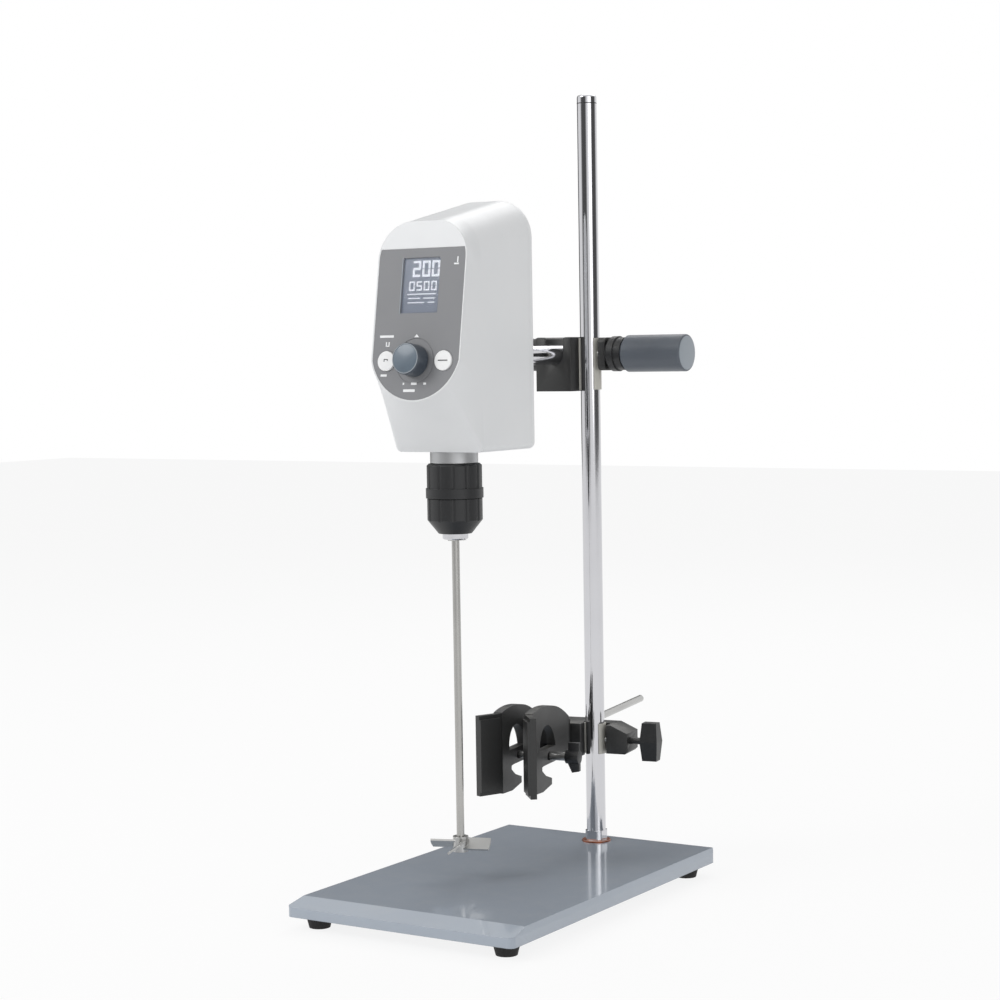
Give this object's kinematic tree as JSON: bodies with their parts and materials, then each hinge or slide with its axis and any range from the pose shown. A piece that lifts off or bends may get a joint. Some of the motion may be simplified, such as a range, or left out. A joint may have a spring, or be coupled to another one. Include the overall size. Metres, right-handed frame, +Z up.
{
  "type": "overhead stirrer",
  "caption": "Laboratory overhead stirrer on a plate stand: motor head with display, knob and chuck on an arm, stirring shaft with propeller, and a vessel clamp",
  "frame": {"origin": "centre of the base plate, on the plane the feet stand on", "axes": "+Z up, -Y the front that the display faces, +X to the right seen from the front"},
  "size_m": [0.2108, 0.4764, 0.639],
  "materials": {
    "handle_grey": "satin slate grey",
    "steel": "turned and plated",
    "black_plastic": "fine matt texture",
    "shell_white": "satin light grey moulding",
    "plate_coat": "glossy bluish grey enamel",
    "aluminium_grey": "machined",
    "black_casting": "fine black stove enamel on die-cast metal",
    "rod_chrome": "polished",
    "board_green": "solder mask",
    "panel_grey": "fine matt film",
    "module_grey": "moulded frame",
    "window_clear": "tinted clear window",
    "jaw_grip": "black enamel with rubber pads",
    "key_white": "satin white",
    "iron_core": "laminated",
    "rubber_black": "matt",
    "liner_nylon": "plain nylon",
    "knob_slate": "soft satin slate"
  },
  "bodies": {
    "stand": {"base_plate": "plate_coat", "plate_feet": "rubber_black", "foot_screws": "steel", "support_rod": "rod_chrome", "rod_cap": "rod_chrome", "rod_nut": "steel"},
    "head_liner": {"rod_liner": "liner_nylon"},
    "boss": {"boss_casting": "black_casting"},
    "rod_pad_body": {"rod_pad": "steel"},
    "rod_screw_body": {"rod_screw": "black_plastic", "rod_handle": "handle_grey"},
    "arm_pad_body": {"arm_pad": "steel"},
    "arm_screw_body": {"arm_screw": "black_plastic", "arm_handle": "handle_grey"},
    "arm": {"support_arm": "rod_chrome"},
    "head": {"housing_shell": "shell_white", "back_cover": "shell_white", "cover_screws": "steel", "control_panel": "panel_grey", "display_window": "window_clear", "display_module": "module_grey", "control_board": "board_green", "speed_encoder": "steel", "bearing_neck": "aluminium_grey", "head_frame": "aluminium_grey", "motor_bracket": "aluminium_grey", "motor_can": "steel", "motor_stator": "iron_core", "ball_bearings": "steel", "power_inlet": "black_plastic"},
    "knob": {"speed_knob": "knob_slate"},
    "left_key": {"left_button": "key_white"},
    "right_key": {"right_button": "key_white"},
    "rocker": {"rocker_key": "black_plastic"},
    "output": {"spindle": "steel", "shaft_coupling": "aluminium_grey", "motor_rotor": "iron_core", "chuck_body": "rod_chrome", "chuck_rear_sleeve": "black_plastic"},
    "chuck_sleeve": {"chuck_front_sleeve": "black_plastic", "jaw_nut": "steel"},
    "jaw_1": {"chuck_jaw_1": "steel"},
    "jaw_2": {"chuck_jaw_2": "steel"},
    "jaw_3": {"chuck_jaw_3": "steel"},
    "stirrer": {"stirring_shaft": "steel", "propeller": "steel"},
    "clamp_liner": {"vessel_liner": "liner_nylon"},
    "clamp_boss": {"vessel_boss": "black_casting"},
    "clamp_rod_pad": {"vessel_rod_pad": "steel"},
    "clamp_rod_screw": {"vessel_rod_screw": "black_plastic"},
    "clamp_arm_pad": {"vessel_arm_pad": "steel"},
    "clamp_arm_screw": {"vessel_arm_screw": "black_plastic"},
    "clamp_arm": {"vessel_arm": "steel"},
    "clamp_body": {"jaw_body": "black_casting"},
    "near_jaw_body": {"near_jaw": "jaw_grip"},
    "far_jaw_body": {"far_jaw": "jaw_grip"},
    "sleeve": {"jaw_sleeve": "steel"},
    "wing_screw": {"jaw_bolt": "steel", "wing_nut": "black_plastic"},
    "end_nut": {"far_nut": "steel"}
  },
  "joints": [
    {"name": "head_height", "type": "slide", "parent": "stand", "child": "head_liner", "axis": [0, 0, 1], "range_m": [-0.01, 0.19]},
    {"name": "head_swivel", "type": "hinge", "parent": "head_liner", "child": "boss", "pos_m": [0, 0.1367, 0.4275], "axis": [0, 0, 1], "range_deg": [-90, 90]},
    {"name": "rod_pad_travel", "type": "slide", "parent": "boss", "child": "rod_pad_body", "axis": [1, 0, 0], "range_m": [0, 0.006]},
    {"name": "rod_screw_turn", "type": "hinge", "parent": "rod_pad_body", "child": "rod_screw_body", "pos_m": [0, 0.1367, 0.4275], "axis": [1, 0, 0], "range_deg": [0, 1440]},
    {"name": "arm_pad_travel", "type": "slide", "parent": "boss", "child": "arm_pad_body", "axis": [-1, 0, 0], "range_m": [0, 0.006]},
    {"name": "arm_screw_turn", "type": "hinge", "parent": "arm_pad_body", "child": "arm_screw_body", "pos_m": [-0.0222, 0.1367, 0.4275], "axis": [-1, 0, 0], "range_deg": [0, 1440]},
    {"name": "head_reach", "type": "slide", "parent": "boss", "child": "arm", "axis": [0, 1, 0], "range_m": [-0.03, 0.02]},
    {"name": "head_tilt", "type": "hinge", "parent": "arm", "child": "head", "pos_m": [-0.0222, -0.0362, 0.4275], "axis": [0, 1, 0], "range_deg": [-30, 30]},
    {"name": "knob_turn", "type": "hinge", "parent": "head", "child": "knob", "pos_m": [-0.0222, -0.08723, 0.42473], "axis": [0, -0.988, 0.1547], "continuous": true},
    {"name": "left_button_press", "type": "slide", "parent": "head", "child": "left_key", "axis": [0, 0.988, -0.1547], "range_m": [0, 0.0006], "stiffness_N_per_m": 1500},
    {"name": "right_button_press", "type": "slide", "parent": "head", "child": "right_key", "axis": [0, 0.988, -0.1547], "range_m": [0, 0.0006], "stiffness_N_per_m": 1500},
    {"name": "rocker_swing", "type": "hinge", "parent": "head", "child": "rocker", "pos_m": [-0.0222, 0.0228, 0.401], "axis": [1, 0, 0], "range_deg": [-16, 0]},
    {"name": "output_spin", "type": "hinge", "parent": "head", "child": "output", "pos_m": [-0.0222, -0.0362, 0.355], "axis": [0, 0, 1], "continuous": true},
    {"name": "chuck_sleeve_turn", "type": "hinge", "parent": "output", "child": "chuck_sleeve", "pos_m": [-0.0222, -0.0362, 0.2872], "axis": [0, 0, 1], "range_deg": [0, 720]},
    {"name": "chuck_jaw_1_slide", "type": "slide", "parent": "output", "child": "jaw_1", "axis": [0, -0.2588, 0.9659], "range_m": [0, 0.004]},
    {"name": "chuck_jaw_2_slide", "type": "slide", "parent": "output", "child": "jaw_2", "axis": [0.2241, 0.1294, 0.9659], "range_m": [0, 0.004]},
    {"name": "chuck_jaw_3_slide", "type": "slide", "parent": "output", "child": "jaw_3", "axis": [-0.2241, 0.1294, 0.9659], "range_m": [0, 0.004]},
    {"name": "shaft_slide", "type": "slide", "parent": "output", "child": "stirrer", "axis": [0, 0, 1], "range_m": [-0.01, 0.055]},
    {"name": "vessel_height", "type": "slide", "parent": "stand", "child": "clamp_liner", "axis": [0, 0, 1], "range_m": [-0.045, 0.13]},
    {"name": "vessel_swivel", "type": "hinge", "parent": "clamp_liner", "child": "clamp_boss", "pos_m": [0, 0.1367, 0.1075], "axis": [0, 0, 1], "range_deg": [-45, 45]},
    {"name": "clamp_rod_pad_travel", "type": "slide", "parent": "clamp_boss", "child": "clamp_rod_pad", "axis": [0.9851, 0.1719, 0], "range_m": [0, 0.004]},
    {"name": "clamp_rod_screw_turn", "type": "hinge", "parent": "clamp_rod_pad", "child": "clamp_rod_screw", "pos_m": [0, 0.1367, 0.1075], "axis": [0.9851, 0.1719, 0], "range_deg": [0, 1440]},
    {"name": "clamp_arm_pad_travel", "type": "slide", "parent": "clamp_boss", "child": "clamp_arm_pad", "axis": [-0.9851, -0.1719, 0], "range_m": [0, 0.004]},
    {"name": "clamp_arm_screw_turn", "type": "hinge", "parent": "clamp_arm_pad", "child": "clamp_arm_screw", "pos_m": [-0.024, 0.1367, 0.113], "axis": [-0.9851, -0.1719, 0], "range_deg": [0, 1440]},
    {"name": "vessel_reach", "type": "slide", "parent": "clamp_boss", "child": "clamp_arm", "axis": [0.1719, -0.9851, 0], "range_m": [-0.0015, 0.02]},
    {"name": "vessel_turn", "type": "hinge", "parent": "clamp_arm", "child": "clamp_body", "pos_m": [-0.024, 0.1367, 0.113], "axis": [0.1719, -0.9851, 0], "range_deg": [-45, 45]},
    {"name": "near_jaw_swing", "type": "hinge", "parent": "clamp_body", "child": "near_jaw_body", "pos_m": [-0.01063, 0.08625, 0.106], "axis": [0, 0, 1], "range_deg": [0, 8]},
    {"name": "far_jaw_swing", "type": "hinge", "parent": "clamp_body", "child": "far_jaw_body", "pos_m": [-0.01949, 0.0847, 0.106], "axis": [0, 0, -1], "range_deg": [0, 8]},
    {"name": "sleeve_travel", "type": "slide", "parent": "clamp_body", "child": "sleeve", "axis": [0.9851, 0.1719, 0], "range_m": [0, 0.0063]},
    {"name": "wing_turn", "type": "hinge", "parent": "sleeve", "child": "wing_screw", "pos_m": [0.00783, 0.05089, 0.1075], "axis": [0.9851, 0.1719, 0], "range_deg": [0, 1440]},
    {"name": "end_nut_travel", "type": "slide", "parent": "clamp_body", "child": "end_nut", "axis": [-0.9851, -0.1719, 0], "range_m": [0, 0.0063]}
  ],
  "couplings": [
    {"joint": "rod_pad_travel", "follows": "rod_screw_turn", "m_per_rad": 0.00023873},
    {"joint": "arm_pad_travel", "follows": "arm_screw_turn", "m_per_rad": 0.00023873},
    {"joint": "chuck_jaw_1_slide", "follows": "chuck_sleeve_turn", "m_per_rad": 0.00031831},
    {"joint": "chuck_jaw_2_slide", "follows": "chuck_sleeve_turn", "m_per_rad": 0.00031831},
    {"joint": "chuck_jaw_3_slide", "follows": "chuck_sleeve_turn", "m_per_rad": 0.00031831},
    {"joint": "clamp_rod_pad_travel", "follows": "clamp_rod_screw_turn", "m_per_rad": 0.00015915},
    {"joint": "clamp_arm_pad_travel", "follows": "clamp_arm_screw_turn", "m_per_rad": 0.00015915},
    {"joint": "near_jaw_swing", "follows": "wing_turn", "ratio": 0.0055555},
    {"joint": "far_jaw_swing", "follows": "wing_turn", "ratio": 0.0055555},
    {"joint": "sleeve_travel", "follows": "wing_turn", "m_per_rad": 0.00025067},
    {"joint": "end_nut_travel", "follows": "wing_turn", "m_per_rad": 0.00025067}
  ]
}
